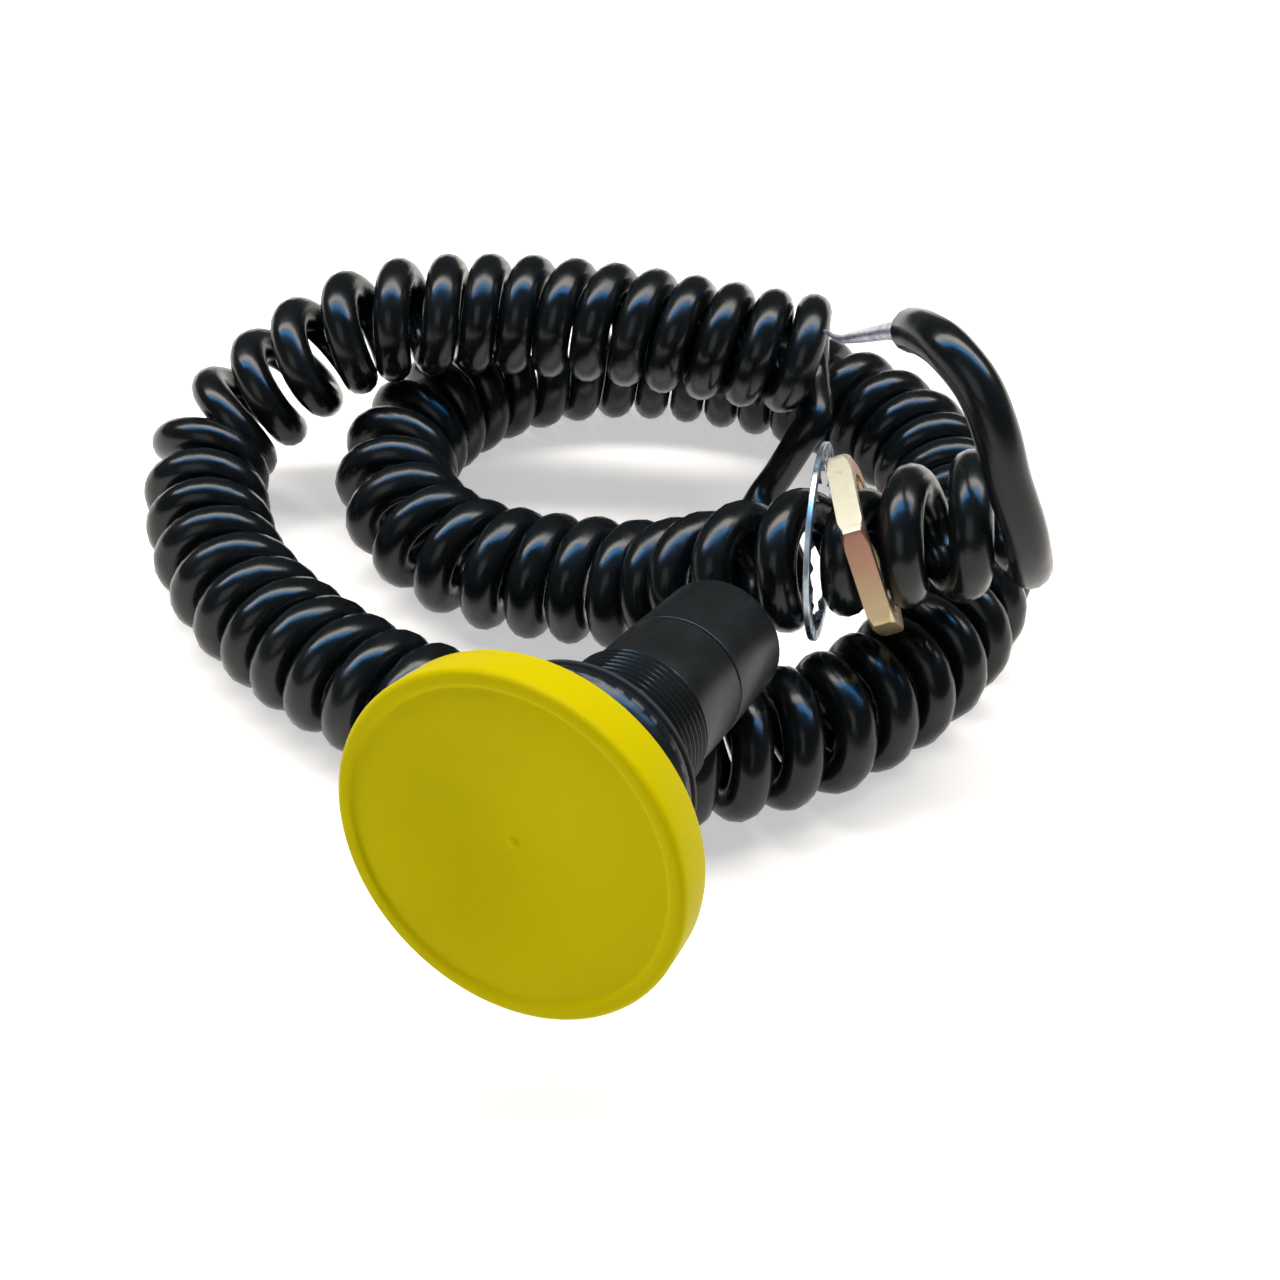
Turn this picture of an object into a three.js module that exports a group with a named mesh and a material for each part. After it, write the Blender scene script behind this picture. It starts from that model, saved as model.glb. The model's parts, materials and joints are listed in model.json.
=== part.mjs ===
// Panel-mount omnidirectional antenna with a curly cord, lying on a table.
// Millimetres, +Z up. The antenna's axis leans down to the rear, towards +Y.
// The origin is the centre of the antenna's own bounding box.
import * as THREE from 'three';

// ---- Driving dimensions ----
const TILT = THREE.MathUtils.degToRad(12.3);  // how far the rear end leans down
const HEAD_ABOVE_TABLE = 62;                   // centre of the front rim
const ORIGIN_BEHIND_RIM = 39.96;
const ORIGIN_ABOVE_TABLE = 61.17;
const GAP = 0.3;                               // between pieces that touch

const HEAD_R = 33;
const HEAD_DEPTH = 9.4;
const CAP_WALL = 1.8;
const DISH_R = 29.6;
const DISH_STEP = 0.8;
const DISH_DEPTH = 2.4;

const SHANK_R = 15;                            // M30 x 1.5 thread
const THREAD_PITCH = 1.5;
const THREAD_DEPTH = 0.92;
const SHANK_CORE_R = 14.2;
const SHANK_BORE_R = 11.5;
const SHANK_START = 10.9;
const SHANK_END = 48.8;

const FLANGE_R = 21.2;
const FLANGE_START = 22;
const FLANGE_END = 28;
const GASKET_R = 21.5;
const GASKET_T = 1;

const BARREL_FRONT_R = 13.95;
const BARREL_SEAM_R = 13.75;
const BARREL_REAR_R = 13.2;
const BARREL_SEAM = 65.5;
const BARREL_END = 86;
const BARREL_BORE_R = 9;
const RELIEF_END = 87.6;

const CORD_R = 4.5;
const TAIL_R = 3.5;                            // the cord drawn thin behind the antenna
const COIL_R = 15.1;
const NECK_R = 12.2;                           // the coil where the nut squeezes it
const NECK_GAP = 2.6;                          // the neck turns a little at each end
const FREE_END_R = 15.5;
const CORE_R = 2;

const NUT_FLATS = 36;
const NUT_BORE_R = 14.2;
const NUT_T = 5;
const WASHER_R = 21;
const WASHER_BORE_R = 16.3;
const WASHER_T = 1.2;

const COARSE = 24;
const ROUND = 36;

// ---- Cord routes on the table: x, y and height of the centre line ----
const TAIL_ROUTE = [
  [0, 86, 43.2], [0, 89.2, 42.2], [-0.8, 92.2, 38.6], [-2.6, 94.3, 32.6], [-5.2, 96.2, 26],
  [-8.6, 99.4, 19], [-12.2, 104.8, 12], [-14.4, 112, 6.6], [-15, 120.5, 4.2], [-14.5, 129.5, 3.7],
  [-16, 139, 3.7], [-19.7, 148, 3.7], [-24.5, 156.5, 3.7], [-29.5, 165.5, 3.8], [-32.2, 173.5, 4.2],
  [-31.8, 178.5, 6.8], [-29.6, 181.5, 11.3], [-27.2, 183.4, 17], [-23.8, 185.3, 22.3],
  [-18.8, 188.5, 27], [-17.5, 193, 31.5], [-17.5, 197, 36],
];
const LOOP_ROUTE = [
  [-25, 196, 40], [-38, 190, 42], [-53, 185, 43.5], [-68, 181, 44.5], [-83, 177, 45], [-97, 172, 45.6],
  [-110, 165, 46.4], [-121, 157.5, 46.3], [-131, 150.5, 44], [-139.5, 143, 38.6], [-147.8, 136, 31],
  [-154.5, 127.5, 23.4], [-156.5, 118, 18], [-151, 107.5, 15.6], [-141, 95.5, 15.2],
  [-129, 84.5, 15.2], [-115, 76, 15.2], [-100, 70, 15.2], [-85, 66, 15.2], [-70, 64, 15.2],
  [-55, 64, 15.2], [-40, 65.5, 15.2], [-26, 67.5, 15.2], [-13, 70.5, 15.2], [-3, 77, 15.2],
  [6.5, 85.3, 15.2], [16, 96, 15.2], [23, 108.7, 15.2], [28, 121.8, 15.2], [30.7, 136, 15.2],
  [30.3, 150, 15.2], [26, 167, 15.2], [18, 184, 15.2], [7, 198, 15.2], [-7, 208, 15.2],
  [-24, 214.5, 15.2], [-45, 216, 15.2], [-66, 213, 15.2], [-86, 206, 15.2], [-101, 195, 15.2],
  [-112, 180, 15.2], [-117, 163, 15.2], [-117, 147, 15.2], [-112, 133, 15.2], [-102, 122, 15.2],
  [-89, 115, 15.2], [-75, 112.5, 15.7], [-61, 113.3, 16.8], [-48, 115.5, 18.3], [-36.5, 117, 20.2],
  [-26.5, 116.4, 24.8], [-17, 114.2, 31.6], [-10.4, 113.1, 36.9], [-4.7, 113.5, 40.1],
];
const NECK_START = new THREE.Vector3(-4.7, 113.5, 40.1);
const NECK_END = new THREE.Vector3(25.8, 120.3, 53.4);
const FREE_END_ROUTE = [
  [25.8, 120.3, 53.4], [30, 122.1, 55], [34.3, 125.2, 55.9], [38.5, 127.7, 56.9],
];
const FREE_TAIL_ROUTE = [
  [50.4, 120.5, 55.1], [50.4, 118.6, 60.5], [48.9, 117.2, 67], [45, 115.6, 77.5], [41.3, 115.7, 87.3],
  [36, 117.2, 95.3], [28.4, 120.6, 99.4], [21.8, 126.6, 97.6], [17.2, 132.5, 94],
];
const CORE_ROUTE = [[16.9, 132.8, 93.8], [11, 138, 89], [1, 149, 79], [-10, 166, 66], [-21, 185, 54.6]];
// Where the loose washer and nut hang, and which way they face
const WASHER_CENTRE = new THREE.Vector3(6.8, 118.4, 47.1);
const WASHER_AXIS = new THREE.Vector3(0.962, 0.26, 0.082);
const NUT_CENTRE = new THREE.Vector3(16.9, 118.3, 49.5);
const NUT_AXIS = new THREE.Vector3(0.826, 0.444, 0.347);
const NUT_CORNER_TURN = THREE.MathUtils.degToRad(56);

// ---- Materials ----
const finish = (color, roughness, metalness = 0) =>
  new THREE.MeshStandardMaterial({ color, roughness, metalness });
const YELLOW = finish(0xd8c800, 0.45);
const BLACK_GLOSS = finish(0x0c0e10, 0.25);
const BLACK_SATIN = finish(0x17191a, 0.5);
const RUBBER = finish(0x101112, 0.75);
const CORD_BLACK = finish(0x0a0c0d, 0.3);
const BRASS = finish(0xb08a45, 0.35, 1);
const NICKEL = finish(0xc8bfa8, 0.3, 1);
const ZINC = finish(0xaeb6bf, 0.35, 1);
const ALUMINIUM = finish(0xb9bcc0, 0.4, 1);
const BOARD_GREEN = finish(0x1f5a3a, 0.6);
const EPOXY = finish(0x2a2420, 0.6);
const WHITE_PLASTIC = finish(0xe6e4dc, 0.6);

// ---- Shape helpers ----
// A turned piece. The outline is [radius, distance behind the rim] and closes on itself.
function turned(outline, segments = ROUND) {
  const points = outline.map(([r, y]) => new THREE.Vector2(r, y));
  if (THREE.ShapeUtils.area(points) < 0) points.reverse();
  const onAxis = points.findIndex((p, i) => p.x === 0 && points[(i + 1) % points.length].x === 0);
  if (onAxis >= 0) {
    points.push(...points.splice(0, onAxis + 1));
  } else {
    points.push(points[0].clone());
  }
  return new THREE.LatheGeometry(points, segments);
}

function tubeWall(outer, inner, from, to, segments = ROUND) {
  return turned([[inner, from], [outer, from], [outer, to], [inner, to]], segments);
}

function disc(radius, from, to, segments = ROUND) {
  return turned([[0, from], [radius, from], [radius, to], [0, to]], segments);
}

function polygon(radius, sides, turn = 0) {
  const shape = new THREE.Shape();
  for (let i = 0; i < sides; i++) {
    const angle = turn + (2 * Math.PI * i) / sides;
    const x = radius * Math.cos(angle);
    const y = radius * Math.sin(angle);
    if (i === 0) shape.moveTo(x, y);
    else shape.lineTo(x, y);
  }
  shape.closePath();
  return shape;
}

function smoothRoute(route) {
  const curve = new THREE.CatmullRomCurve3(route.map((p) => new THREE.Vector3(...p)), false, 'centripetal');
  curve.arcLengthDivisions = 1500;
  return curve;
}

// The part of a curve between two distances along it.
class Stretch extends THREE.Curve {
  constructor(curve, from, to) {
    super();
    this.curve = curve;
    this.from = from / curve.getLength();
    this.to = to / curve.getLength();
  }

  getPoint(t, target = new THREE.Vector3()) {
    return this.curve.getPointAt(THREE.MathUtils.lerp(this.from, this.to, t), target);
  }
}

function sweep(path, radius, sides, steps) {
  return new THREE.ExtrudeGeometry(polygon(radius, sides), {
    steps,
    extrudePath: path,
    bevelEnabled: false,
  });
}

// ---- Scene graph ----
const table = new THREE.Group();
table.position.set(0, -ORIGIN_BEHIND_RIM, -ORIGIN_ABOVE_TABLE);
const antenna = new THREE.Group();
antenna.position.z = HEAD_ABOVE_TABLE;
antenna.rotation.x = -TILT;
table.add(antenna);

function add(group, name, geometry, material) {
  const mesh = new THREE.Mesh(geometry, material);
  mesh.name = name;
  group.add(mesh);
  return mesh;
}

// ---- Radome head ----
const dishHeight = (r) =>
  DISH_STEP + DISH_DEPTH * (0.5 + 0.5 * Math.cos((Math.PI * Math.min(r, DISH_R)) / DISH_R));

function radomeCap() {
  const rings = [4, 9, 14, 19, 24, DISH_R];
  const front = [[0, dishHeight(0) - 0.3], [0.8, dishHeight(0) - 0.3], [1, dishHeight(1)]];
  for (const r of rings) front.push([r, dishHeight(r)]);
  const rim = [[30.1, 0.15], [30.7, 0], [31.9, 0], [32.7, 0.3], [HEAD_R, 1.1]];
  const side = [[HEAD_R - 0.5, HEAD_DEPTH - 0.4], [HEAD_R - 0.9, HEAD_DEPTH]];
  const insideR = HEAD_R - 2.1;
  const inside = [[insideR, HEAD_DEPTH], [insideR, DISH_STEP + CAP_WALL + 0.8]];
  for (const r of [...rings].reverse().slice(1)) inside.push([r, dishHeight(r) + CAP_WALL]);
  inside.push([0, dishHeight(0) + CAP_WALL]);
  return turned([...front, ...rim, ...side, ...inside]);
}

function oRing(centreR, centreY, wireR, segments = ROUND) {
  const sides = 6;
  const outline = [];
  for (let i = 0; i < sides; i++) {
    const angle = (2 * Math.PI * i) / sides;
    outline.push([centreR + wireR * Math.cos(angle), centreY + wireR * Math.sin(angle)]);
  }
  return turned(outline, segments);
}

add(antenna, 'radome_cap', radomeCap(), YELLOW);
add(antenna, 'radome_seal', oRing(30.1, 8.75, 0.5), RUBBER);
add(antenna, 'radiator_disc', tubeWall(23, 1.1, 5.35, 5.85, COARSE), BRASS);
add(antenna, 'radiator_spacer', tubeWall(15, 12, 6.15, 6.9, COARSE), WHITE_PLASTIC);
add(antenna, 'ground_disc', tubeWall(28.5, 3, 7.2, 7.8, COARSE), ALUMINIUM);
add(antenna, 'feed_pin', disc(0.75, 5.4, 23.6, 8), BRASS);
add(antenna, 'feed_insulator', tubeWall(2.6, 1.1, 6.3, 20, 12), WHITE_PLASTIC);
const backplate = [[3.2, 8.1], [29.3, 8.1], [29.3, 9.4], [17.6, 9.4], [17.2, 10.6], [3.2, 10.6]];
add(antenna, 'head_backplate', turned(backplate), BLACK_SATIN);

// ---- Neck, flange and threaded shank ----
const neck = [
  [SHANK_CORE_R + GAP, SHANK_START], [17.2, SHANK_START], [16.4, 13], [16.2, 18],
  [17, FLANGE_START - GAP], [SHANK_CORE_R + GAP, FLANGE_START - GAP],
];
add(antenna, 'neck_sleeve', turned(neck), BLACK_SATIN);

const flange = [
  [SHANK_CORE_R + GAP, FLANGE_START], [17.4, FLANGE_START], [19.6, 23.4], [20.8, 24.8],
  [FLANGE_R, 26], [FLANGE_R, 27.3], [20.7, FLANGE_END], [SHANK_CORE_R + GAP, FLANGE_END],
];
add(antenna, 'flange_collar', turned(flange), BLACK_GLOSS);
const gasketStart = FLANGE_END + GAP;
const gasketEnd = gasketStart + GASKET_T;
add(antenna, 'panel_gasket', tubeWall(GASKET_R, SHANK_R + GAP, gasketStart, gasketEnd), RUBBER);

function threadedShank() {
  const outline = [[SHANK_BORE_R, SHANK_START], [SHANK_CORE_R, SHANK_START]];
  const threadStart = gasketEnd + GAP;
  outline.push([SHANK_CORE_R, threadStart]);
  const turns = Math.floor((SHANK_END - threadStart) / THREAD_PITCH);
  for (let i = 0; i < turns; i++) {
    const y = threadStart + 0.2 + i * THREAD_PITCH;
    outline.push([SHANK_R, y + THREAD_PITCH / 2], [SHANK_R - THREAD_DEPTH, y + THREAD_PITCH]);
  }
  outline.push([SHANK_CORE_R, SHANK_END], [SHANK_BORE_R, SHANK_END]);
  return turned(outline, COARSE);
}
add(antenna, 'threaded_shank', threadedShank(), BLACK_SATIN);

const board = add(antenna, 'matching_board', new THREE.BoxGeometry(16, 22, 1.6), BOARD_GREEN);
board.position.y = 35.2;

// ---- Barrel and cord entry ----
const spigotR = SHANK_BORE_R - GAP;
const barrelFront = [
  [BARREL_BORE_R + 0.4, 40], [spigotR, 40], [spigotR, SHANK_END + GAP],
  [BARREL_FRONT_R - 0.4, SHANK_END + GAP], [BARREL_FRONT_R, SHANK_END + 0.7],
  [BARREL_SEAM_R, BARREL_SEAM - 0.5], [BARREL_SEAM_R - 0.4, BARREL_SEAM - 0.15],
  [BARREL_BORE_R + 0.4, BARREL_SEAM - 0.15],
];
add(antenna, 'barrel_front', turned(barrelFront), BLACK_SATIN);
const barrelRear = [
  [BARREL_BORE_R, 60], [BARREL_BORE_R + 0.1, 60], [BARREL_BORE_R + 0.1, BARREL_SEAM + 0.15],
  [BARREL_SEAM_R - 0.4, BARREL_SEAM + 0.15], [BARREL_SEAM_R, BARREL_SEAM + 0.5],
  [BARREL_REAR_R, BARREL_END - 1], [BARREL_REAR_R - 0.8, BARREL_END], [6.4, BARREL_END],
  [6.4, BARREL_END - 3], [8.4, BARREL_END - 3], [8.4, 60],
];
add(antenna, 'barrel_rear', turned(barrelRear), BLACK_SATIN);
add(antenna, 'potting_plug', disc(8.1, 50, 58, COARSE), EPOXY);
add(antenna, 'inner_lead', disc(2, 58.3, 71, 10), CORD_BLACK);
add(antenna, 'gland_ring', tubeWall(8, 2.4, 70.4, 73.4, COARSE), BRASS);
const reliefBody = [
  [0, 73.8], [8, 73.8], [8, BARREL_END - 3.4], [6, BARREL_END - 3.4], [6, BARREL_END + 0.5],
  [5.3, RELIEF_END], [0, RELIEF_END],
];
add(antenna, 'strain_relief', turned(reliefBody, COARSE), RUBBER);

// ---- Curly cord ----
add(table, 'cord_tail_antenna', sweep(smoothRoute(TAIL_ROUTE), TAIL_R, 10, 44), CORD_BLACK);

const loops = smoothRoute(LOOP_ROUTE);
const loopNames = [
  'coil_outer_start', 'coil_outer_back', 'coil_outer_left', 'coil_outer_front', 'coil_under_barrel',
  'coil_outer_right', 'coil_right_back', 'coil_inner_back', 'coil_inner_left', 'coil_inner_front',
  'coil_ramp',
];
const loopPiece = loops.getLength() / loopNames.length;
loopNames.forEach((name, i) => {
  const from = i * loopPiece + (i > 0 ? GAP / 2 : 0);
  const to = (i + 1) * loopPiece - GAP / 2;
  add(table, name, sweep(new Stretch(loops, from, to), COIL_R, 16, 9), CORD_BLACK);
});

// A piece whose own +Y axis is turned to point along an axis.
function place(mesh, centre, axis) {
  mesh.position.copy(centre);
  mesh.quaternion.setFromUnitVectors(new THREE.Vector3(0, 1, 0), axis.clone().normalize());
}

const neckAxis = NECK_END.clone().sub(NECK_START);
const neckLength = neckAxis.length() - 2 * NECK_GAP;
const neckCylinder = new THREE.CylinderGeometry(NECK_R, NECK_R, neckLength, 16);
const neckMiddle = NECK_START.clone().lerp(NECK_END, 0.5);
place(add(table, 'coil_neck', neckCylinder, CORD_BLACK), neckMiddle, neckAxis);
add(table, 'coil_free_end', sweep(smoothRoute(FREE_END_ROUTE), FREE_END_R, 16, 5), CORD_BLACK);
add(table, 'cord_tail_free', sweep(smoothRoute(FREE_TAIL_ROUTE), CORD_R, 10, 20), CORD_BLACK);
add(table, 'cord_core', sweep(smoothRoute(CORE_ROUTE), CORE_R, 8, 8), ZINC);

// ---- Loose washer and nut on the neck of the coil ----
const washerRing = tubeWall(WASHER_R, WASHER_BORE_R, -WASHER_T / 2, WASHER_T / 2);
place(add(table, 'lock_washer', washerRing, ZINC), WASHER_CENTRE, WASHER_AXIS);

const hexagon = polygon(NUT_FLATS / Math.sqrt(3), 6, NUT_CORNER_TURN);
hexagon.holes.push(new THREE.Path(polygon(NUT_BORE_R, 40).getPoints().reverse()));
const nutBody = new THREE.ExtrudeGeometry(hexagon, { depth: NUT_T, bevelEnabled: false });
nutBody.translate(0, 0, -NUT_T / 2).rotateX(-Math.PI / 2);
place(add(table, 'hex_nut', nutBody, NICKEL), NUT_CENTRE, NUT_AXIS);

export default table;
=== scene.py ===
"""Omnidirectional antenna on its own curly cord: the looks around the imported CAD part."""
import json
import math

import bpy
from mathutils import Matrix, Vector


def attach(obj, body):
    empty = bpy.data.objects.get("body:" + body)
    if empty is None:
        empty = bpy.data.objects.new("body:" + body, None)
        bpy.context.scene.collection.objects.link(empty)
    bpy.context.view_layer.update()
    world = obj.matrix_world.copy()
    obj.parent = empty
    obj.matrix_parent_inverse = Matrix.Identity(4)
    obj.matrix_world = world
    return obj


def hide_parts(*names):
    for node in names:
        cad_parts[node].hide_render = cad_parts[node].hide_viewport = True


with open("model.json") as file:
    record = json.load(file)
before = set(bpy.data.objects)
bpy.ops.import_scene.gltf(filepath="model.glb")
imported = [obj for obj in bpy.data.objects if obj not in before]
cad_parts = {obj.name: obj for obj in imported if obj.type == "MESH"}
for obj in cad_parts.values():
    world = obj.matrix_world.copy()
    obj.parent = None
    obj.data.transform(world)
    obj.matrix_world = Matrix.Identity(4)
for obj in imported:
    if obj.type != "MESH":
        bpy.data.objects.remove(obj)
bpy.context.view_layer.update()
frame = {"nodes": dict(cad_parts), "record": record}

MM = 0.001
TABLE_Z = -61.17                       # the table in the part's frame, millimetres
TABLE_ORIGIN = Vector((0.0, -39.96, TABLE_Z))
HEAD_HEIGHT = 62.0                     # centre of the front rim above the table
TILT = math.radians(12.3)              # the antenna's rear end leans down

# ---------------------------------------------------------------- camera
camera_data = bpy.data.cameras.new("camera")
camera_data.lens = 52.03
camera_data.sensor_width = 36.0
camera_data.clip_end = 20.0
camera = bpy.data.objects.new("camera", camera_data)
camera.location = (Vector((114.8, -173.1, 286.6)) + TABLE_ORIGIN) * MM
camera.rotation_euler = (math.radians(49.14), 0.0, math.radians(27.35))
bpy.context.scene.collection.objects.link(camera)
bpy.context.scene.camera = camera
bpy.context.scene.view_settings.view_transform = "Standard"

# ---------------------------------------------------------------- cord routes
# Centre lines on the table in millimetres: x, y and height, as in the CAD.
TAIL_ROUTE = [
    (0, 86, 43.2), (0, 89.2, 42.2), (-0.8, 92.2, 38.6), (-2.6, 94.3, 32.6), (-5.2, 96.2, 26),
    (-8.6, 99.4, 19), (-12.2, 104.8, 12), (-14.4, 112, 6.6), (-15, 120.5, 4.5), (-14.5, 129.5, 4.2),
    (-16, 139, 4.2), (-19.7, 148, 4.2), (-24.5, 156.5, 4.2), (-29.5, 165.5, 4.2), (-32.2, 173.5, 4.2),
    (-31.8, 178.5, 6.8), (-29.6, 181.5, 11.3), (-27.2, 183.4, 17), (-25, 185.5, 22.5), (-23.3, 188.8, 26.4),
]
LOOP_ROUTE = [
    (-25, 196, 40), (-38, 190, 42), (-53, 185, 43.5), (-68, 181, 44.5), (-83, 177, 44.8), (-97, 172, 45),
    (-110, 165, 45.3), (-121, 157.5, 45.2), (-131, 150.5, 43), (-139.5, 143, 38), (-147.8, 136, 30.6),
    (-154.5, 127.5, 23.2), (-156.5, 118, 18), (-151, 107.5, 15.6), (-141, 95.5, 15.2),
    (-129, 84.5, 15.2), (-115, 76, 15.2), (-100, 70, 15.2), (-85, 66, 15.2), (-70, 64, 15.2),
    (-55, 64, 15.2), (-40, 65.5, 15.2), (-26, 67.5, 15.2), (-13, 70.5, 15.2), (-3, 77, 15.2),
    (6.5, 85.3, 15.2), (16, 96, 15.2), (23, 108.7, 15.2), (28, 121.8, 15.2), (30.7, 136, 15.2),
    (30.3, 150, 15.2), (26, 167, 15.2), (18, 184, 15.2), (7, 198, 15.2), (-7, 208, 15.2),
    (-24, 214.5, 15.2), (-45, 216, 15.2), (-66, 213, 15.2), (-86, 206, 15.2), (-101, 195, 15.2),
    (-112, 180, 15.2), (-117, 163, 15.2), (-117, 147, 15.2), (-112, 133, 15.2), (-102, 122, 15.2),
    (-89, 115, 15.2), (-75, 112.5, 15.7), (-61, 113.3, 16.8), (-48, 115.5, 18.3), (-36.5, 117, 20.2),
    (-26.5, 116.4, 24.5), (-17, 114.2, 31), (-10.4, 113.1, 36.1), (-4.7, 113.5, 39.5),
]
FREE_END_ROUTE = [
    (25.8, 120.3, 53), (30, 122.1, 54.8), (34.3, 125.2, 55.9), (38.5, 127.7, 56.9), (45.3, 131.6, 58.9),
]
FREE_TAIL_ROUTE = [
    (50.2, 119.6, 60), (48.9, 117.2, 67), (45, 115.6, 77.5), (41.3, 115.7, 87.3),
    (36, 117.2, 95.3), (28.4, 120.6, 99.4), (21.8, 126.6, 97.6), (17.2, 132.5, 94),
]
CORE_ROUTE = [(16.9, 132.8, 93.8), (11, 138, 89), (1, 149, 79), (-10, 166, 66), (-21, 185, 54.6)]

WIRE_R = 4.5
COIL_R = 15.1
NECK_R = 12.6
FREE_END_R = 15.5
TAIL_R = 4.1
CLOSED_PITCH = 9.25                    # turns that touch, just wider apart than the wire is thick
TIGHTEST_BEND = 0.66                   # the least share of the pitch left on the inside of a bend
POINTS_PER_TURN = 30
POINTS_PER_SPAN = 24                   # of a route, between two of its points
TAIL_STEP = 1.2                        # between points of the wire outside the coil
TAIL_TAPER_POINTS = 30                 # over which the thinner tail grows into the coil's wire


def catmull_rom(points, per_span):
    """Centripetal Catmull-Rom through the points, as the CAD's curves are."""
    points = [Vector(p) for p in points]
    ends = [2 * points[0] - points[1], *points, 2 * points[-1] - points[-2]]
    line = []
    for i in range(1, len(ends) - 2):
        p0, p1, p2, p3 = ends[i - 1:i + 3]
        d0, d1, d2 = ((b - a).length ** 0.5 for a, b in ((p0, p1), (p1, p2), (p2, p3)))
        m1 = ((p1 - p0) / d0 - (p2 - p0) / (d0 + d1) + (p2 - p1) / d1) * d1
        m2 = ((p2 - p1) / d1 - (p3 - p1) / (d1 + d2) + (p3 - p2) / d2) * d1
        for k in range(per_span):
            t = k / per_span
            line.append((2 * t**3 - 3 * t**2 + 1) * p1 + (t**3 - 2 * t**2 + t) * m1
                        + (-2 * t**3 + 3 * t**2) * p2 + (t**3 - t**2) * m2)
    line.append(points[-1])
    return line


def resample(line, step):
    """The same line with points an equal step apart."""
    total = sum((b - a).length for a, b in zip(line, line[1:]))
    count = max(2, round(total / step))
    gap, out, walked, target = total / count, [line[0].copy()], 0.0, total / count
    for a, b in zip(line, line[1:]):
        span = (b - a).length
        while walked + span >= target - 1e-9 and len(out) <= count:
            out.append(a.lerp(b, (target - walked) / span if span else 0.0))
            target += gap
        walked += span
    return out


def line_length(line):
    return sum((b - a).length for a, b in zip(line, line[1:]))


def carried_frames(line, first_side):
    """A tangent and a side vector at each point, turning as little as possible along the line."""
    tangents = []
    for i in range(len(line)):
        tangents.append((line[min(i + 1, len(line) - 1)] - line[max(i - 1, 0)]).normalized())
    side = (first_side - first_side.dot(tangents[0]) * tangents[0]).normalized()
    sides = [side]
    for before, now in zip(tangents, tangents[1:]):
        side = before.rotation_difference(now) @ side
        side = (side - side.dot(now) * now).normalized()
        sides.append(side)
    return tangents, sides


def ease(t):
    t = min(max(t, 0.0), 1.0)
    return t * t * (3 - 2 * t)


# ---------------------------------------------------------------- the coil's helix
AXIS_STEP = 0.25
axis_line = resample(catmull_rom(LOOP_ROUTE + FREE_END_ROUTE, POINTS_PER_SPAN), AXIS_STEP)
axis_tangents, axis_sides = carried_frames(axis_line, Vector((0, 0, -1)))
COIL_LENGTH = AXIS_STEP * (len(axis_line) - 1)
NECK_FROM = line_length(catmull_rom(LOOP_ROUTE, POINTS_PER_SPAN))
NUT_AT = NECK_FROM + 24.0              # where the nut sits along the coil
SQUEEZE_AT = NUT_AT + 1.0              # the middle of the stretch that the nut squeezes
SQUEEZE_HALF = 4.5                     # half the length that is squeezed in full
SQUEEZE_FADE = 5.0                     # and the length over which the coil opens again
WIDE_FROM = NUT_AT + 4.0               # the free end opens from here
WIDE_FADE = 8.0

# The pitch where the coil is pulled open: (distance along the coil, pitch)
OPENED = [
    (0, 9.8), (90, 10.1), (106, 11.7), (128, 12.4), (147, 12.8), (166, 11.9), (190, 12.6), (220, 11.9),
    (250, 9.5), (755, 9.6), (775, 11.5), (795, 13.6), (812, 13.6), (818, 13.2), (823, 10), (830, 10),
    (834, 14.5), (860, 14.5),
]
END_SIDE = Vector((0.25, -0.85, -0.45))  # where the last turn leaves the coil


def between(table, where):
    """The value at a place, eased from entry to entry of a table of (place, value)."""
    if where <= table[0][0]:
        return table[0][1]
    for (a, value_a), (b, value_b) in zip(table, table[1:]):
        if where <= b:
            return value_a + (value_b - value_a) * ease((where - a) / (b - a))
    return table[-1][1]


def bend_radius(i, reach=48):
    """The axis's radius of bend at a point, over a few points either side of it."""
    a, b = max(i - reach, 0), min(i + reach, len(axis_line) - 1)
    angle = axis_tangents[a].angle(axis_tangents[b])
    return AXIS_STEP * (b - a) / max(angle, 1e-4)


def coil_radius(distance):
    """The coil's outer radius: squeezed inside the nut, a little wider at its free end."""
    squeeze = 1 - ease((abs(distance - SQUEEZE_AT) - SQUEEZE_HALF) / SQUEEZE_FADE)
    wide = COIL_R + (FREE_END_R - COIL_R) * ease((distance - WIDE_FROM) / WIDE_FADE)
    return wide + (NECK_R - wide) * squeeze


def pitch(i):
    """Turns touch on the inside of a bend, and gape where the coil is pulled open."""
    inner = max(1 - (COIL_R - WIRE_R) / bend_radius(i), TIGHTEST_BEND)
    return max(CLOSED_PITCH / inner, between(OPENED, AXIS_STEP * i))


def helix():
    """The left-handed wire, its turns spread so that the last one ends at END_SIDE."""
    turning = [0.0]
    for i in range(len(axis_line) - 1):
        turning.append(turning[-1] + 2 * math.pi * AXIS_STEP / pitch(i))
    across = axis_tangents[-1].cross(axis_sides[-1])
    last = math.atan2(-END_SIDE.dot(across), END_SIDE.dot(axis_sides[-1]))
    whole = last + 2 * math.pi * round((turning[-1] - last) / (2 * math.pi))
    line, next_angle = [], 0.0
    for i, centre in enumerate(axis_line):
        angle = turning[i] * whole / turning[-1]
        if angle >= next_angle or i == len(axis_line) - 1:
            turn = Matrix.Rotation(-angle, 3, axis_tangents[i])
            line.append(centre + (coil_radius(AXIS_STEP * i) - WIRE_R) * (turn @ axis_sides[i]))
            next_angle += 2 * math.pi / POINTS_PER_TURN
    return line, whole / (2 * math.pi)


HELIX, TURNS = helix()
print("turns", round(TURNS, 1), "wire in the coil", round(line_length(HELIX)), "mm")


def to_frame(p):
    """A place on the table in millimetres, as metres in the part's frame."""
    return (Vector(p) + TABLE_ORIGIN) * MM


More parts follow.
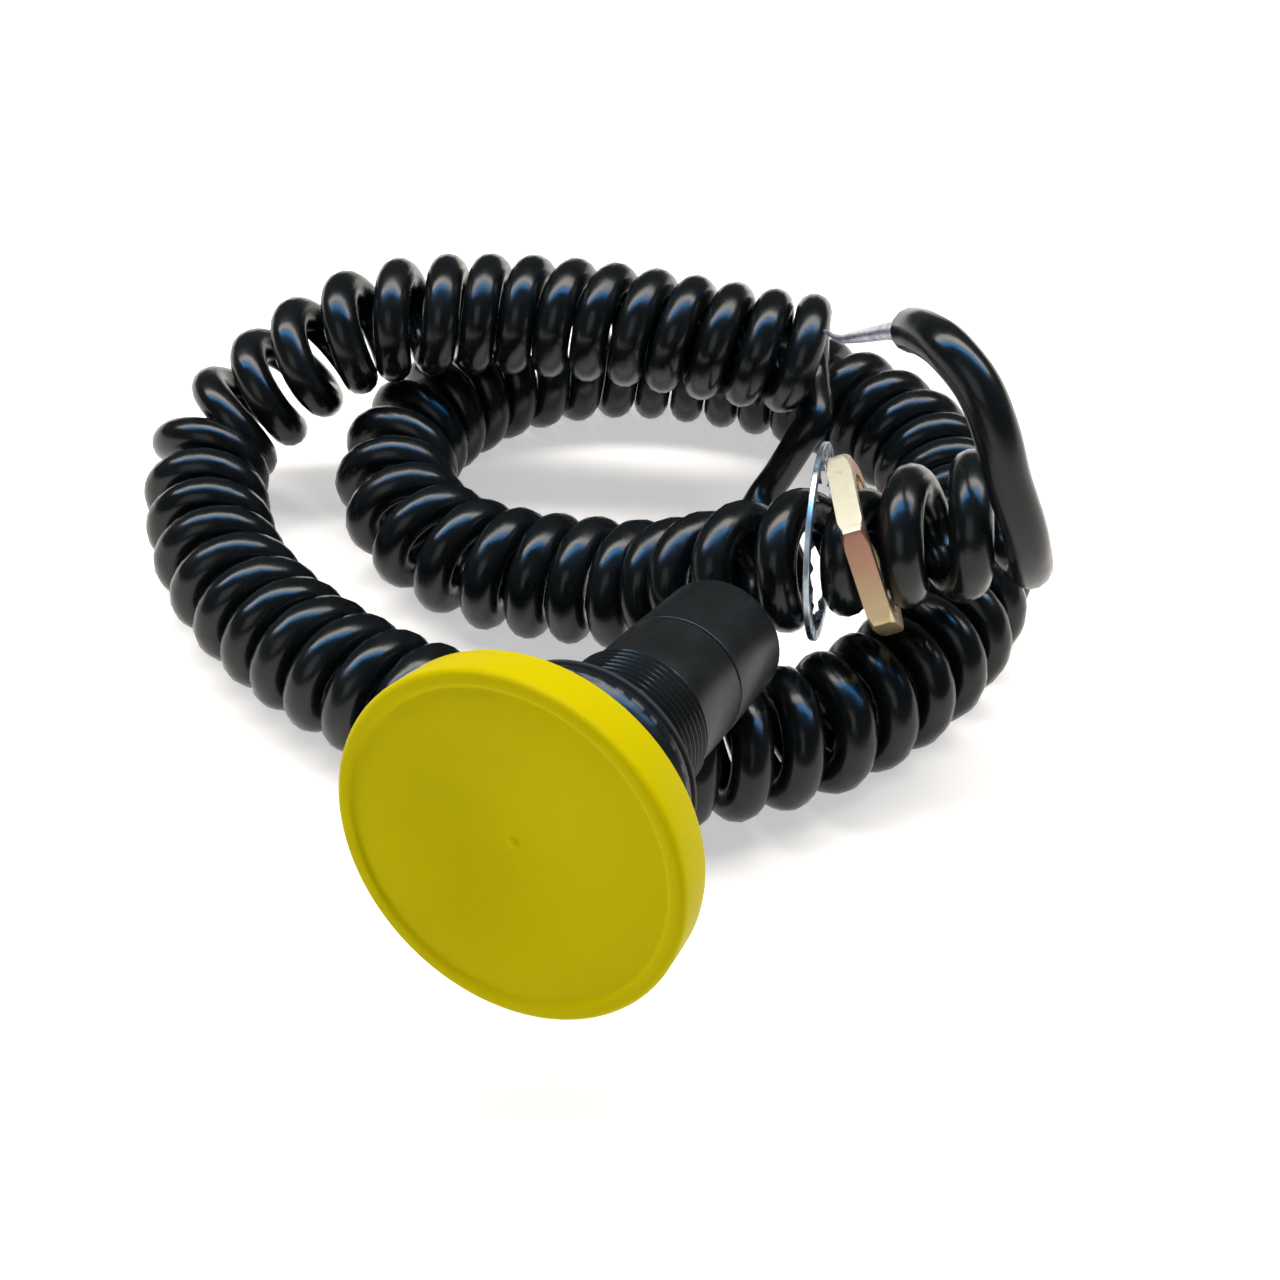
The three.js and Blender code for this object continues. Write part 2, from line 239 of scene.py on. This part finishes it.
def wire_curve(name, line, wire_radius, radii=None):
    """One open round wire through points in millimetres, with a radius factor at each."""
    curve = bpy.data.curves.new(name, "CURVE")
    curve.dimensions = "3D"
    curve.bevel_depth = wire_radius * MM
    curve.bevel_resolution = 5
    curve.use_fill_caps = True
    curve.twist_mode = "MINIMUM"
    spline = curve.splines.new("POLY")
    spline.points.add(len(line) - 1)
    for i, p in enumerate(line):
        spline.points[i].co = (*to_frame(p), 1.0)
        spline.points[i].radius = radii[i] if radii else 1.0
    spline.use_smooth = True
    piece = bpy.data.objects.new(name, curve)
    bpy.context.scene.collection.objects.link(piece)
    return piece


def cord_line():
    """Tail, coil and free tail as one line, with the wire's radius at each point."""
    into = resample(catmull_rom([*TAIL_ROUTE, HELIX[1], HELIX[3]], 16), TAIL_STEP)
    out = resample(catmull_rom([HELIX[-5], HELIX[-3], *FREE_TAIL_ROUTE], 16), TAIL_STEP)
    line = [*into, *HELIX[4:-5], *out]
    thin = TAIL_R / WIRE_R
    radii = []
    for i in range(len(into)):
        grown = ease((i - len(into) + TAIL_TAPER_POINTS) / TAIL_TAPER_POINTS)
        radii.append(thin + (1 - thin) * grown)
    radii += [1.0] * (len(line) - len(into))
    return line, radii


CORD_LINE, CORD_RADII = cord_line()
cord = wire_curve("curly_cord", CORD_LINE, WIRE_R, CORD_RADII)

# ---------------------------------------------------------------- nut and washer on the coil
NUT_AXIS = Vector((0.826, 0.444, 0.347)).normalized()
NUT_CENTRE = Vector((16.9, 118.3, 49.5))
NUT_FLATS = 36.0
NUT_T = 5.0
NUT_BORE = 14.2
NUT_TURN = math.radians(59.5)
WASHER_AXIS = Vector((0.962, 0.26, 0.082)).normalized()
WASHER_CENTRE = Vector((6.8, 118.4, 47.1))
WASHER_R = 21.0
WASHER_BORE = 16.3
WASHER_FLAT_R = 18.6                   # the teeth are twisted inside this radius
WASHER_T = 1.2


def stand_along(axis, centre):
    """Turns a piece whose own axis is +Y, as the CAD does."""
    return Matrix.Translation(centre) @ Vector((0, 1, 0)).rotation_difference(axis).to_matrix().to_4x4()


def front_edge():
    """The nut's upward direction across its own axis, and how far up its front edge lies."""
    up = (Vector((0, 0, 1)) - NUT_AXIS.z * NUT_AXIS).normalized()
    turned = stand_along(NUT_AXIS, Vector()).to_3x3()
    corners = [NUT_TURN + k * math.pi / 3 for k in range(6)]
    edges = [turned @ Vector((math.cos(a), 0, -math.sin(a))) for a in corners]
    front = max(edges, key=lambda e: e.dot(Vector((0.3, -0.67, 0.68))))
    return up, 0.5 + 0.5 * front.dot(up)


# ---------------------------------------------------------------- materials


class Shader:
    """A Principled material with helpers for procedural detail."""

    def __init__(self, name, color, roughness, metallic=0.0, **sockets):
        self.mat = bpy.data.materials.new(name)
        self.mat.use_nodes = True
        self.nodes = self.mat.node_tree.nodes
        self.links = self.mat.node_tree.links
        self.bsdf = self.nodes["Principled BSDF"]
        self.set("Base Color", (*color, 1.0))
        self.set("Roughness", roughness)
        self.set("Metallic", metallic)
        for socket, value in sockets.items():
            self.set(socket.replace("_", " "), value)
        self.height = None

    def set(self, socket, value):
        self.bsdf.inputs[socket].default_value = value

    def coordinates(self, scale=(1, 1, 1), rotation=(0, 0, 0)):
        texture = self.nodes.new("ShaderNodeTexCoord")
        mapping = self.nodes.new("ShaderNodeMapping")
        mapping.inputs["Scale"].default_value = scale
        mapping.inputs["Rotation"].default_value = rotation
        self.links.new(texture.outputs["Object"], mapping.inputs["Vector"])
        return mapping.outputs["Vector"]

    def noise(self, scale, detail=4.0, roughness=0.55, stretch=(1, 1, 1), rotation=(0, 0, 0)):
        node = self.nodes.new("ShaderNodeTexNoise")
        node.inputs["Scale"].default_value = scale
        node.inputs["Detail"].default_value = detail
        node.inputs["Roughness"].default_value = roughness
        self.links.new(self.coordinates(stretch, rotation), node.inputs["Vector"])
        return node.outputs["Fac"]

    def ramp(self, value, stops):
        node = self.nodes.new("ShaderNodeValToRGB")
        elements = node.color_ramp.elements
        elements[0].position, elements[-1].position = stops[0][0], stops[-1][0]
        elements[0].color, elements[-1].color = (*stops[0][1], 1.0), (*stops[-1][1], 1.0)
        for place, color in stops[1:-1]:
            elements.new(place).color = (*color, 1.0)
        self.links.new(value, node.inputs["Fac"])
        return node.outputs["Color"]

    def vary(self, socket, value, low, high, start=0.3, end=0.7):
        """Drives a socket between two values with a 0 to 1 pattern."""
        node = self.nodes.new("ShaderNodeMapRange")
        node.inputs["From Min"].default_value = start
        node.inputs["From Max"].default_value = end
        node.inputs["To Min"].default_value = low
        node.inputs["To Max"].default_value = high
        self.links.new(value, node.inputs["Value"])
        self.links.new(node.outputs["Result"], self.bsdf.inputs[socket])

    def color(self, value, stops):
        self.links.new(self.ramp(value, stops), self.bsdf.inputs["Base Color"])

    def bump(self, value, distance, strength=1.0):
        node = self.nodes.new("ShaderNodeBump")
        node.inputs["Strength"].default_value = strength
        node.inputs["Distance"].default_value = distance
        self.links.new(value, node.inputs["Height"])
        if self.height is not None:
            self.links.new(self.height, node.inputs["Normal"])
        self.height = node.outputs["Normal"]
        self.links.new(self.height, self.bsdf.inputs["Normal"])
        return self


def yellow_plastic():
    s = Shader("radome_yellow", (0.58, 0.51, 0.0), 0.46, Specular_IOR_Level=0.02)
    s.color(s.noise(22, 3), [
        (0.25, (0.50, 0.43, 0.0)), (0.6, (0.55, 0.48, 0.0)), (0.9, (0.58, 0.51, 0.0)),
    ])
    s.vary("Roughness", s.noise(90, 5), 0.36, 0.5)
    s.bump(s.noise(1500, 3), 0.00002, 0.5)
    s.bump(s.noise(60, 2), 0.0001, 0.25)
    return s.mat


def black_satin():
    s = Shader("housing_black", (0.006, 0.008, 0.009), 0.34, Specular_IOR_Level=0.32)
    s.vary("Roughness", s.noise(120, 5), 0.27, 0.42)
    dust = s.noise(2600, 2, 0.5)
    s.color(dust, [
        (0.0, (0.005, 0.007, 0.008)), (0.70, (0.008, 0.010, 0.011)), (0.78, (0.09, 0.10, 0.10)),
    ])
    s.bump(s.noise(1800, 3), 0.00002, 0.5)
    return s.mat


def black_gloss():
    s = Shader("collar_gloss", (0.006, 0.008, 0.010), 0.3, Specular_IOR_Level=0.35)
    s.vary("Roughness", s.noise(300, 5), 0.26, 0.38)
    s.bump(s.noise(900, 4), 0.00002, 0.4)
    return s.mat


def cord_jacket():
    s = Shader("cord_jacket", (0.004, 0.006, 0.007), 0.22, Specular_IOR_Level=0.32)
    s.vary("Roughness", s.noise(160, 4), 0.17, 0.3)
    s.color(s.noise(40, 3), [(0.3, (0.0025, 0.004, 0.005)), (0.7, (0.005, 0.0075, 0.009))])
    s.bump(s.noise(700, 4), 0.00005, 0.35)
    s.bump(s.noise(120, 2), 0.0002, 0.2)
    return s.mat


def rubber():
    s = Shader("seal_rubber", (0.012, 0.012, 0.012), 0.7)
    s.vary("Roughness", s.noise(200, 4), 0.6, 0.8)
    s.bump(s.noise(1600, 3), 0.00003, 0.6)
    return s.mat


def nut_metal():
    """Painted reflections on the flats, by which way each one faces: bright above the nut's front edge, and
    browner below it.
    """
    s = Shader("nut_brass", (0.72, 0.64, 0.48), 0.32, 1.0)
    up, edge = front_edge()
    reach = NUT_FLATS / 2 / math.cos(math.pi / 6) * MM
    middle = to_frame(NUT_CENTRE).dot(up)
    texture = s.nodes.new("ShaderNodeTexCoord")
    along = s.nodes.new("ShaderNodeVectorMath")
    along.operation = "DOT_PRODUCT"
    along.inputs[1].default_value = up
    s.links.new(texture.outputs["Object"], along.inputs[0])
    height = s.nodes.new("ShaderNodeMapRange")
    height.inputs["From Min"].default_value = middle - reach
    height.inputs["From Max"].default_value = middle + reach
    s.links.new(along.outputs["Value"], height.inputs["Value"])
    # painted reflections: a pale tint on the flats above the front edge, a copper tint just below it, fading
    # to tan towards the bottom
    s.color(height.outputs["Result"], [
        (0.0, (0.52, 0.42, 0.26)), (edge - 0.38, (0.50, 0.40, 0.23)), (edge - 0.16, (0.46, 0.26, 0.18)),
        (edge - 0.01, (0.42, 0.23, 0.16)), (edge + 0.01, (0.40, 0.37, 0.27)), (1.0, (0.34, 0.31, 0.21)),
    ])
    brushed = s.noise(500, 4, 0.6, (1, 1, 8))
    s.vary("Roughness", brushed, 0.3, 0.5)
    s.bump(brushed, 0.00001, 0.35)
    return s.mat


def zinc():
    s = Shader("washer_zinc", (0.42, 0.50, 0.56), 0.34, 1.0)
    s.color(s.noise(150, 3), [(0.35, (0.30, 0.40, 0.50)), (0.65, (0.50, 0.56, 0.60))])
    s.vary("Roughness", s.noise(500, 4), 0.22, 0.42)
    s.bump(s.noise(1200, 3), 0.00002, 0.5)
    return s.mat


def silver_screen():
    s = Shader("core_silver", (0.62, 0.62, 0.70), 0.34, 0.9)
    s.color(s.noise(260, 3), [(0.35, (0.42, 0.42, 0.50)), (0.65, (0.72, 0.71, 0.80))])
    s.vary("Roughness", s.noise(700, 4), 0.25, 0.5)
    s.bump(s.noise(900, 4), 0.0001, 0.5)
    return s.mat


def plain(name, color, roughness, metallic=0.0):
    """A moulded, turned or cast finish for the pieces inside."""
    s = Shader(name, color, roughness, metallic)
    lighter = tuple(min(c * 1.12, 1.0) for c in color)
    darker = tuple(c * 0.88 for c in color)
    s.color(s.noise(60, 3), [(0.35, darker), (0.65, lighter)])
    s.vary("Roughness", s.noise(240, 4), roughness * 0.8, min(roughness * 1.25, 1.0))
    s.bump(s.noise(900, 3), 0.00003, 0.4)
    return s.mat


MATERIALS = {
    "radome_yellow": yellow_plastic(),
    "housing_black": black_satin(),
    "collar_gloss": black_gloss(),
    "cord_jacket": cord_jacket(),
    "seal_rubber": rubber(),
    "nut_brass": nut_metal(),
    "washer_zinc": zinc(),
    "core_silver": silver_screen(),
    "brass": plain("brass", (0.69, 0.54, 0.27), 0.3, 1.0),
    "aluminium": plain("aluminium", (0.75, 0.76, 0.78), 0.38, 1.0),
    "insulator_white": plain("insulator_white", (0.86, 0.85, 0.82), 0.5),
    "board_green": plain("board_green", (0.05, 0.25, 0.12), 0.45),
    "potting": plain("potting", (0.06, 0.045, 0.04), 0.5),
}


def finish(piece, slot, body="root", replaces=()):
    """Material, slot, body and the CAD nodes that a new piece stands for."""
    piece.data.materials.clear()
    piece.data.materials.append(MATERIALS[slot])
    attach(piece, body)
    if replaces:
        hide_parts(*replaces)
    return piece


# ---------------------------------------------------------------- mesh helpers
ANTENNA = Matrix.Translation(Vector((0, 0, HEAD_HEIGHT))) @ Matrix.Rotation(-TILT, 4, "X")
ROUND = 128


def mesh_piece(name, vertices, faces, place=Matrix.Identity(4), smooth_angle=35):
    """A mesh from points in millimetres, placed on the table and moved into the part's frame."""
    mesh = bpy.data.meshes.new(name)
    mesh.from_pydata([to_frame(place @ Vector(v)) for v in vertices], [], faces)
    mesh.validate()
    piece = bpy.data.objects.new(name, mesh)
    bpy.context.scene.collection.objects.link(piece)
    bpy.context.view_layer.objects.active = piece
    bpy.ops.object.select_all(action="DESELECT")
    piece.select_set(True)
    bpy.ops.object.mode_set(mode="EDIT")
    bpy.ops.mesh.select_all(action="SELECT")
    bpy.ops.mesh.remove_doubles(threshold=1e-7)
    bpy.ops.mesh.normals_make_consistent(inside=False)
    bpy.ops.object.mode_set(mode="OBJECT")
    bpy.ops.object.shade_smooth_by_angle(angle=math.radians(smooth_angle))
    return piece


def revolve(name, outline, segments=ROUND, radius_at=None, closed=True):
    """A turned piece about the antenna's axis. The outline is [radius, distance behind the rim]."""
    rings = len(outline)
    vertices, faces = [], []
    for k in range(segments):
        angle = 2 * math.pi * k / segments
        for r, s in outline:
            if radius_at:
                r = radius_at(r, s, angle)
            vertices.append((r * math.cos(angle), s, r * math.sin(angle)))
    for k in range(segments):
        here, there = k * rings, ((k + 1) % segments) * rings
        for i in range(rings if closed else rings - 1):
            j = (i + 1) % rings
            faces.append((here + i, here + j, there + j, there + i))
    return mesh_piece(name, vertices, faces, ANTENNA)


def arc(centre_r, centre_s, radius, start, end, steps=6):
    """Points on a round edge, with angles in degrees from outwards towards the rear."""
    points = []
    for i in range(steps + 1):
        angle = math.radians(start + (end - start) * i / steps)
        points.append((centre_r + radius * math.cos(angle), centre_s + radius * math.sin(angle)))
    return points


# ---------------------------------------------------------------- radome head
HEAD_R = 33.0
HEAD_DEPTH = 9.4
CAP_WALL = 1.8
DISH_R = 29.6
DISH_STEP = 0.8
DISH_DEPTH = 2.4
NIB_R = 0.9


def dish(r):
    """How far behind the rim the radome's face lies at a radius."""
    return DISH_STEP + DISH_DEPTH * (0.5 + 0.5 * math.cos(math.pi * min(r, DISH_R) / DISH_R))


def radome_cap():
    outline = [(0.0, dish(0) - 0.35), (NIB_R * 0.6, dish(0) - 0.33)]
    outline += [(NIB_R, dish(0) - 0.1), (NIB_R + 0.2, dish(1.1))]
    outline += [(r, dish(r)) for r in [1.6 + (DISH_R - 2.2) * i / 30 for i in range(31)]]
    outline += [(29.4, dish(29.4)), (29.75, 0.74), (30.0, 0.5), (30.15, 0.25), (30.4, 0.08), (30.8, 0.0)]
    outline += [(31.6, 0.0)] + arc(31.8, 1.2, 1.2, -90, -8, 8)
    outline += [(HEAD_R - 0.12, 3.0), (HEAD_R - 0.3, 6.0), (HEAD_R - 0.55, HEAD_DEPTH - 0.7)]
    outline += [(HEAD_R - 0.72, HEAD_DEPTH - 0.2), (HEAD_R - 1.0, HEAD_DEPTH)]
    outline += [(HEAD_R - 2.0, HEAD_DEPTH), (HEAD_R - 2.1, HEAD_DEPTH - 0.2)]
    outline += [(HEAD_R - 2.1, DISH_STEP + CAP_WALL + 0.4)]
    outline += [(r, dish(r) + CAP_WALL) for r in (29, 24, 18, 12, 6)] + [(0.0, dish(0) + CAP_WALL)]
    return revolve("radome_shell", outline, 160, closed=False)


def backplate():
    outline = [(3.2, 8.1), (29.0, 8.1), (29.3, 8.3)] + arc(29.0, 9.1, 0.3, 0, 90, 3)
    outline += [(17.8, 9.4), (17.4, 9.8), (17.3, 10.6), (3.2, 10.6)]
    return revolve("rear_plate", outline)


def neck_sleeve():
    outline = [(14.5, 10.9), (17.2, 10.9), (16.7, 11.8), (16.4, 13.2), (16.2, 16), (16.2, 18.4), (16.4, 20),
               (17.0, 21.5), (17.0, 21.7), (14.5, 21.7)]
    return revolve("neck_moulding", outline)


def collar():
    """The glossy collar, with a dished front, a rounded rim and a rough moulding line."""
    outline = [(14.5, 22.0), (17.4, 22.0)]
    outline += [(18.2, 22.35), (19.0, 22.9), (19.8, 23.6), (20.4, 24.4), (20.8, 25.2)]
    outline += [(21.0, 25.7), (21.05, 25.8), (21.2, 26.0), (21.2, 27.1)]
    outline += arc(20.75, 27.45, 0.45, 10, 80, 5) + [(20.4, 28.0), (14.5, 28.0)]

    def rough(r, s, angle):
        if r < 20.3:
            return r
        return r + 0.05 * math.sin(57 * angle + 3 * s) * math.sin(23 * angle) - 0.03
    return revolve("collar", outline, 240, rough)


def gasket():
    outline = [(15.3, 28.3), (21.2, 28.3), (21.45, 28.45), (21.5, 28.8)]
    outline += [(21.45, 29.15), (21.2, 29.3), (15.3, 29.3)]
    return revolve("gasket", outline)


# ---------------------------------------------------------------- thread and barrel
THREAD_R = 15.0
THREAD_ROOT = 14.08
THREAD_PITCH = 1.5
THREAD_FROM = 29.6
THREAD_TO = 48.8
SHANK_BORE = 11.5


def threaded_shank():
    """A real right-hand helix with rounded crests that fades in and out at its ends."""
    steps_per_pitch = 10
    count = round((THREAD_TO - THREAD_FROM) / THREAD_PITCH * steps_per_pitch)
    outline = [(SHANK_BORE, 10.9), (14.2, 10.9), (14.2, THREAD_FROM - 0.02)]
    outline += [(THREAD_ROOT, THREAD_FROM + (THREAD_TO - THREAD_FROM) * i / count) for i in range(count + 1)]
    outline += [(SHANK_BORE, THREAD_TO)]

    def thread(r, s, angle):
        if s < THREAD_FROM - 0.01 or r < 13:
            return r
        turn = ((s - THREAD_FROM) / THREAD_PITCH + angle / (2 * math.pi)) % 1.0
        flank = 1 - abs(2 * turn - 1)
        crest = min(max((flank - 0.12) / 0.72, 0.0), 1.0)
        fade = ease((s - THREAD_FROM) / 0.9) * ease((THREAD_TO - s) / 0.9)
        return THREAD_ROOT + (THREAD_R - THREAD_ROOT) * crest * fade
    return revolve("threaded_shank_helix", outline, 144, thread)


BARREL_FRONT_R = 13.95
BARREL_SEAM_R = 13.75
BARREL_REAR_R = 13.2
BARREL_SEAM = 65.5
BARREL_END = 86.0
BARREL_BORE = 9.0


def barrel_front():
    outline = [(9.4, 40.0), (11.2, 40.0), (11.2, 49.1), (13.4, 49.1)]
    outline += arc(13.5, 49.55, 0.45, -90, 0, 5)
    outline += [(BARREL_SEAM_R, BARREL_SEAM - 0.5)] + arc(13.4, BARREL_SEAM - 0.5, 0.35, 0, 90, 4)
    outline += [(9.4, BARREL_SEAM - 0.15)]
    return revolve("barrel_front_tube", outline)


def barrel_rear():
    outline = [(8.4, 60.0), (9.1, 60.0), (9.1, BARREL_SEAM + 0.15)]
    outline += arc(13.4, BARREL_SEAM + 0.5, 0.35, -90, 0, 4)
    outline += [(BARREL_REAR_R + 0.02, BARREL_END - 1.2)] + arc(12.2, BARREL_END - 1.0, 1.0, 0, 90, 6)
    outline += [(7.2, BARREL_END), (6.8, BARREL_END - 0.15), (6.4, BARREL_END - 0.5)]
    outline += [(6.4, 83.0), (8.4, 83.0)]
    return revolve("barrel_rear_tube", outline)


def strain_relief():
    outline = [(0.0, 73.8), (8.0, 73.8), (8.0, 82.6), (6.0, 82.6), (6.0, 86.2)]
    outline += arc(5.4, 86.6, 0.5, -10, 80, 4) + [(3.9, 87.3), (3.75, 86.9), (0.0, 86.9)]
    return revolve("strain_relief_bush", outline, 96, closed=False)


def ring_mesh(name, rows, place, smooth_angle):
    """A closed ring from rows of points round the bore, one row for each angle."""
    count = len(rows[0])
    vertices = [p for row in rows for p in row]
    faces = []
    for k in range(len(rows)):
        here, there = k * count, ((k + 1) % len(rows)) * count
        for i in range(count):
            j = (i + 1) % count
            faces.append((here + i, here + j, there + j, there + i))
    return mesh_piece(name, vertices, faces, place, smooth_angle)


def hex_nut():
    """A thin nut with chamfered corners on both faces and a threaded bore."""
    half, chamfer_r, bore_steps = NUT_T / 2, NUT_FLATS / 2 + 1.4, 20
    rows = []
    for k in range(240):
        angle = NUT_TURN + 2 * math.pi * k / 240
        local = (angle - NUT_TURN) % (math.pi / 3) - math.pi / 6
        flat = NUT_FLATS / 2 / math.cos(local)
        row = []
        for i in range(bore_steps + 1):
            y = half - NUT_T * i / bore_steps
            turn = (y / THREAD_PITCH + angle / (2 * math.pi)) % 1.0
            row.append((NUT_BORE + 0.7 * abs(2 * turn - 1) + 0.4 * ease((abs(y) - half + 0.5) / 0.5), y))
        for y in (-half, -half + 0.1, -half + 0.25, -half + 0.45, -half + 0.7, 0.0):
            reach = chamfer_r + (y + half) * 1.8
            row.append((min(flat, reach), y))
        row += [(r, -y) for r, y in reversed(row[-5:-1])] + [(min(flat, chamfer_r), half)]
        rows.append([(r * math.cos(angle), y, -r * math.sin(angle)) for r, y in row])
    return ring_mesh("hex_nut_brushed", rows, stand_along(NUT_AXIS, NUT_CENTRE), 25)


def lock_washer():
    """A flat ring with small twisted teeth round its bore."""
    teeth, per_tooth, half = 22, 16, WASHER_T / 2
    rows = []
    for k in range(teeth * per_tooth):
        angle = 2 * math.pi * k / (teeth * per_tooth)
        phase = (k % per_tooth) / per_tooth
        tooth = ease((phase - 0.28) / 0.06) * (1 - ease((phase - 0.72) / 0.06))
        inner = WASHER_BORE + 0.1 + 2.3 * (1 - tooth)
        twist = 0.45 * (phase - 0.5) / 0.22 * tooth
        row = [(inner, -half + 0.1 + twist), (inner + 0.1, -half + twist), (WASHER_FLAT_R, -half)]
        row += [(WASHER_R - 0.15, -half), (WASHER_R, -half + 0.15)]
        row += [(r, -y) for r, y in reversed(row[-2:])] + [(WASHER_FLAT_R, half)]
        row += [(inner + 0.1, half + twist), (inner, half - 0.1 + twist)]
        rows.append([(r * math.cos(angle), y, -r * math.sin(angle)) for r, y in row])
    return ring_mesh("lock_washer_toothed", rows, stand_along(WASHER_AXIS, WASHER_CENTRE), 30)


# ---------------------------------------------------------------- build the pieces
finish(cord, "cord_jacket", replaces=[
    "cord_tail_antenna", "coil_outer_start", "coil_outer_back", "coil_outer_left", "coil_outer_front",
    "coil_under_barrel", "coil_outer_right", "coil_right_back", "coil_inner_back", "coil_inner_left",
    "coil_inner_front", "coil_ramp", "coil_neck", "coil_free_end", "cord_tail_free",
])
core_line = resample(catmull_rom(CORE_ROUTE, POINTS_PER_SPAN), 0.8)
core_radii = [1.0 - 0.8 * i / len(core_line) for i in range(len(core_line))]
core = finish(wire_curve("screen_core", core_line, 2.0, core_radii), "core_silver", replaces=["cord_core"])
finish(radome_cap(), "radome_yellow", replaces=["radome_cap"])
finish(backplate(), "housing_black", replaces=["head_backplate"])
finish(neck_sleeve(), "housing_black", replaces=["neck_sleeve"])
finish(collar(), "collar_gloss", replaces=["flange_collar"])
finish(gasket(), "seal_rubber", replaces=["panel_gasket"])
finish(threaded_shank(), "housing_black", replaces=["threaded_shank"])
finish(barrel_front(), "housing_black", replaces=["barrel_front"])
finish(barrel_rear(), "housing_black", replaces=["barrel_rear"])
finish(strain_relief(), "seal_rubber", replaces=["strain_relief"])
nut = finish(hex_nut(), "nut_brass", "nut", ["hex_nut"])
washer = finish(lock_washer(), "washer_zinc", "washer", ["lock_washer"])

node_slots = {row["node"]: row["material_slot"] for row in frame["record"]["subparts"]}
for node, piece in frame["nodes"].items():
    piece.data.materials.clear()
    piece.data.materials.append(MATERIALS[node_slots[node]])

# ---------------------------------------------------------------- floor and light


def floor():
    mesh = bpy.data.meshes.new("floor")
    half = 6.0
    corners = [(-half, -half, 0), (half, -half, 0), (half, half, 0), (-half, half, 0)]
    mesh.from_pydata(corners, [], [(0, 1, 2, 3)])
    piece = bpy.data.objects.new("floor", mesh)
    piece.location.z = TABLE_Z * MM - 0.0005
    s = Shader("floor_white", (0.8, 0.8, 0.8), 0.9, Specular_IOR_Level=0.1)
    s.set("Emission Color", (1.0, 1.0, 1.0, 1.0))
    s.set("Emission Strength", 0.5)
    mesh.materials.append(s.mat)
    bpy.context.scene.collection.objects.link(piece)


CENTRE = Vector((-0.03, 0.06, -0.02))
AWAY = Vector((-math.sin(math.radians(27.35)), math.cos(math.radians(27.35)), 0.0))
ACROSS = Vector((AWAY.y, -AWAY.x, 0.0))


def softbox(name, away, across, height, size, power, color, diffuse=True):
    """A rectangular light placed from the object's middle: behind it, to its right and above it."""
    data = bpy.data.lights.new(name, "AREA")
    data.shape = "RECTANGLE"
    data.size, data.size_y = size
    data.energy = power
    data.color = color
    piece = bpy.data.objects.new(name, data)
    place = CENTRE + away * AWAY + across * ACROSS + Vector((0, 0, height))
    back = (place - CENTRE).normalized()
    side = (ACROSS - ACROSS.dot(back) * back).normalized()
    turned = Matrix((side, back.cross(side), back)).transposed().to_4x4()
    piece.matrix_world = Matrix.Translation(place) @ turned
    piece.visible_diffuse = diffuse
    bpy.context.scene.collection.objects.link(piece)


floor()
softbox("top_warm", 0.30, 0.0, 1.2, (3.2, 0.36), 41, (1.0, 0.93, 0.85))
softbox("top_blue", -0.02, 0.0, 1.2, (2.6, 0.2), 27, (0.05, 0.38, 0.9), diffuse=False)
softbox("front_fill", -1.4, -0.5, 0.9, (1.0, 1.0), 3, (1.0, 1.0, 1.0))
world = bpy.data.worlds.new("world")
world.use_nodes = True
world.node_tree.nodes["Background"].inputs["Color"].default_value = (1, 1, 1, 1)
world.node_tree.nodes["Background"].inputs["Strength"].default_value = 0.09
bpy.context.scene.world = world
